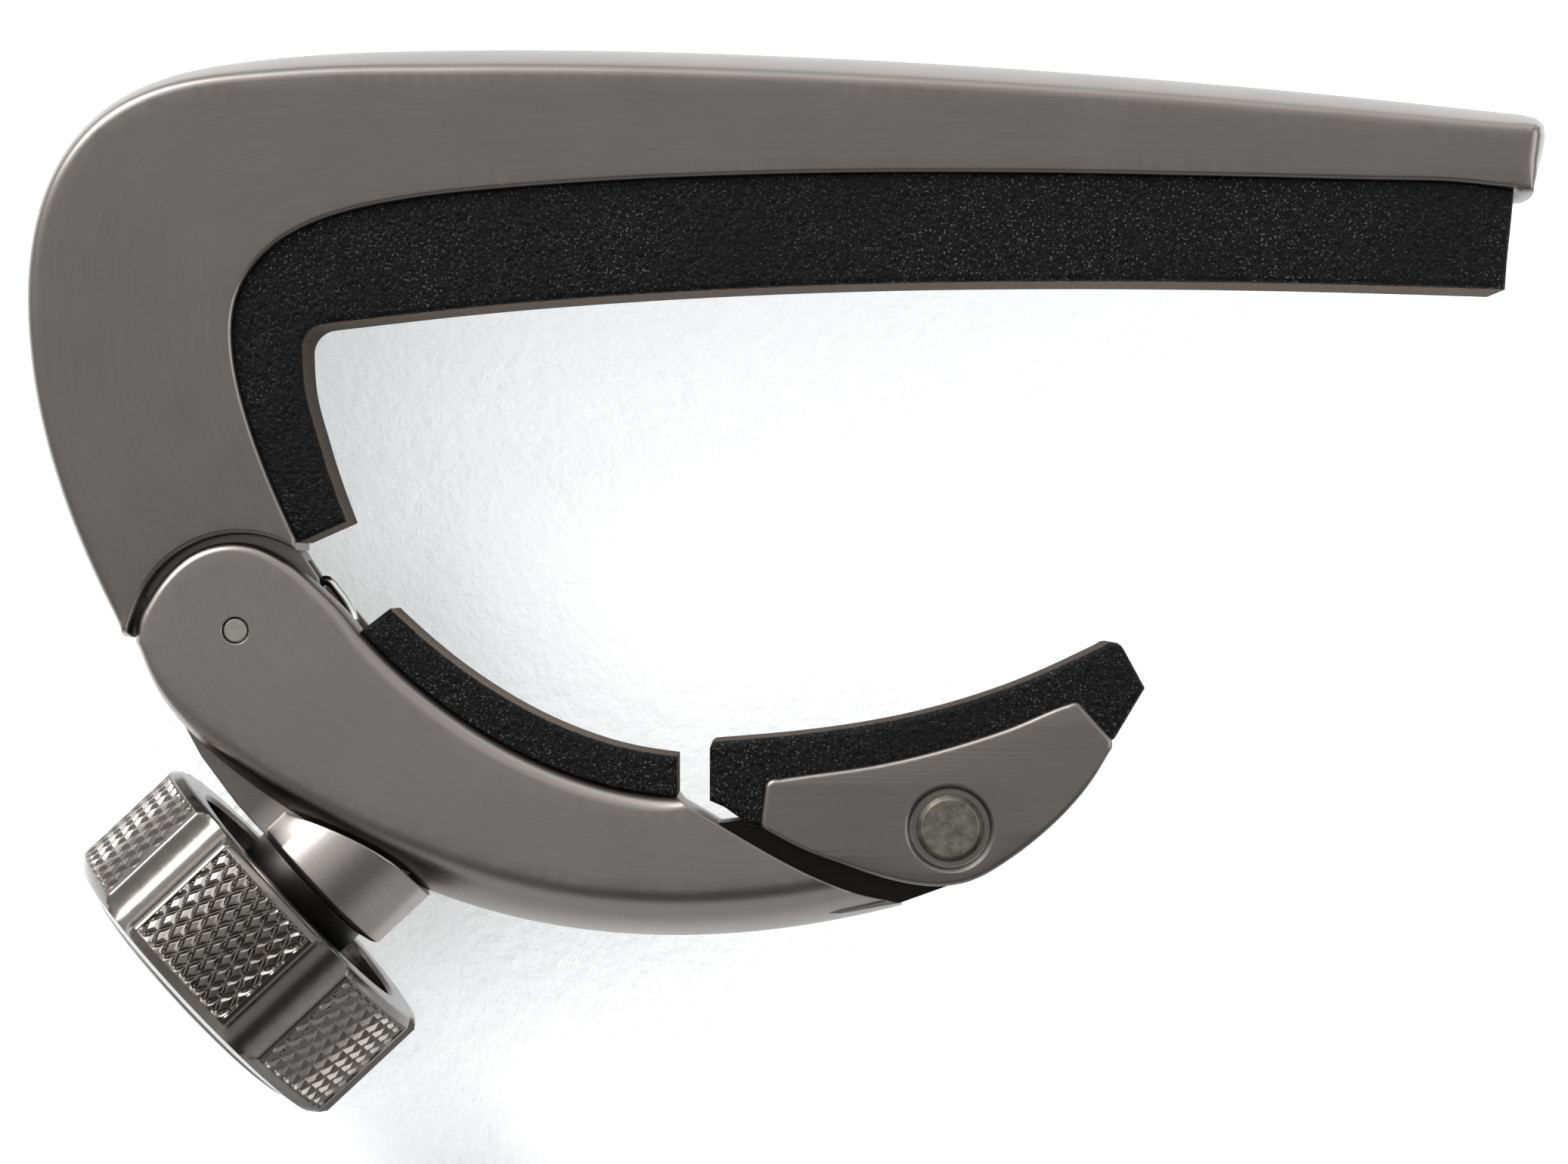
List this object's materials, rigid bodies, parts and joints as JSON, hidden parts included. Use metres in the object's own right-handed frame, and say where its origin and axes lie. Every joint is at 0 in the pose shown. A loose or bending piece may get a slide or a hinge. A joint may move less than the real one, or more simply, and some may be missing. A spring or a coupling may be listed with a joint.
{
  "type": "guitar capo",
  "caption": "Screw-driven C-shaped guitar capo: crowned metal frame with a hollow-faced string pad, forked lower arm on a hinge pin, swivelling pad carriage and knurled thumb knob.",
  "frame": {"origin": "middle of the string pad's working face, at mid width", "axes": "+X across the neck towards the frame's open tip, +Z away from the fretboard, +Y along the neck"},
  "size_m": [0.0913, 0.0214, 0.064],
  "materials": {
    "frame_metal": "satin blasted, dark pewter",
    "arm_metal": "satin blasted, dark pewter",
    "carriage_metal": "satin, dark pewter",
    "knob_metal": "knurled, dark pewter",
    "cap_metal": "satin, dark pewter",
    "pad_rubber": "fine moulded texture",
    "pin_steel": "ground",
    "rivet_steel": "turned face",
    "screw_steel": "machined",
    "spring_steel": "bright drawn wire",
    "bush_brass": "turned",
    "washer_plastic": "moulded"
  },
  "bodies": {
    "frame": {"upper_frame": "frame_metal", "string_pad": "pad_rubber", "hinge_bushes": "bush_brass", "boss_insert": "bush_brass"},
    "arm": {"lower_arm": "arm_metal", "neck_pad_fixed": "pad_rubber", "hinge_pin": "pin_steel", "hinge_washers": "washer_plastic", "rivet_bush": "bush_brass", "anvil": "screw_steel", "torsion_spring": "spring_steel"},
    "carriage": {"pivot_carriage": "carriage_metal", "pivot_pad": "pad_rubber", "pivot_rivet": "rivet_steel", "carriage_washers": "washer_plastic"},
    "foot": {"thrust_foot": "bush_brass"},
    "knob": {"knob": "knob_metal", "knob_cap": "cap_metal", "adjusting_screw": "screw_steel", "screw_jam_nut": "screw_steel", "foot_clip": "spring_steel"}
  },
  "joints": [
    {"name": "arm_hinge", "type": "hinge", "parent": "frame", "child": "arm", "pos_m": [-0.04, 0, -0.0207], "axis": [0, -1, 0], "range_deg": [-0.5, 5.22]},
    {"name": "pad_pivot", "type": "hinge", "parent": "arm", "child": "carriage", "pos_m": [0.00257, 0, -0.03249], "axis": [0, -1, 0], "range_deg": [-8, 3.5]},
    {"name": "screw_travel", "type": "slide", "parent": "frame", "child": "foot", "axis": [0.7307, 0, 0.6827], "range_m": [-0.00013, 0.00128]},
    {"name": "knob_turn", "type": "hinge", "parent": "foot", "child": "knob", "pos_m": [-0.03678, 0, -0.0369], "axis": [0.7307, 0, 0.6827], "range_deg": [-62, 655]}
  ],
  "couplings": [
    {"joint": "screw_travel", "follows": "knob_turn", "m_per_rad": 0.00011141},
    {"joint": "arm_hinge", "follows": "knob_turn", "ratio": 0.0079402}
  ]
}
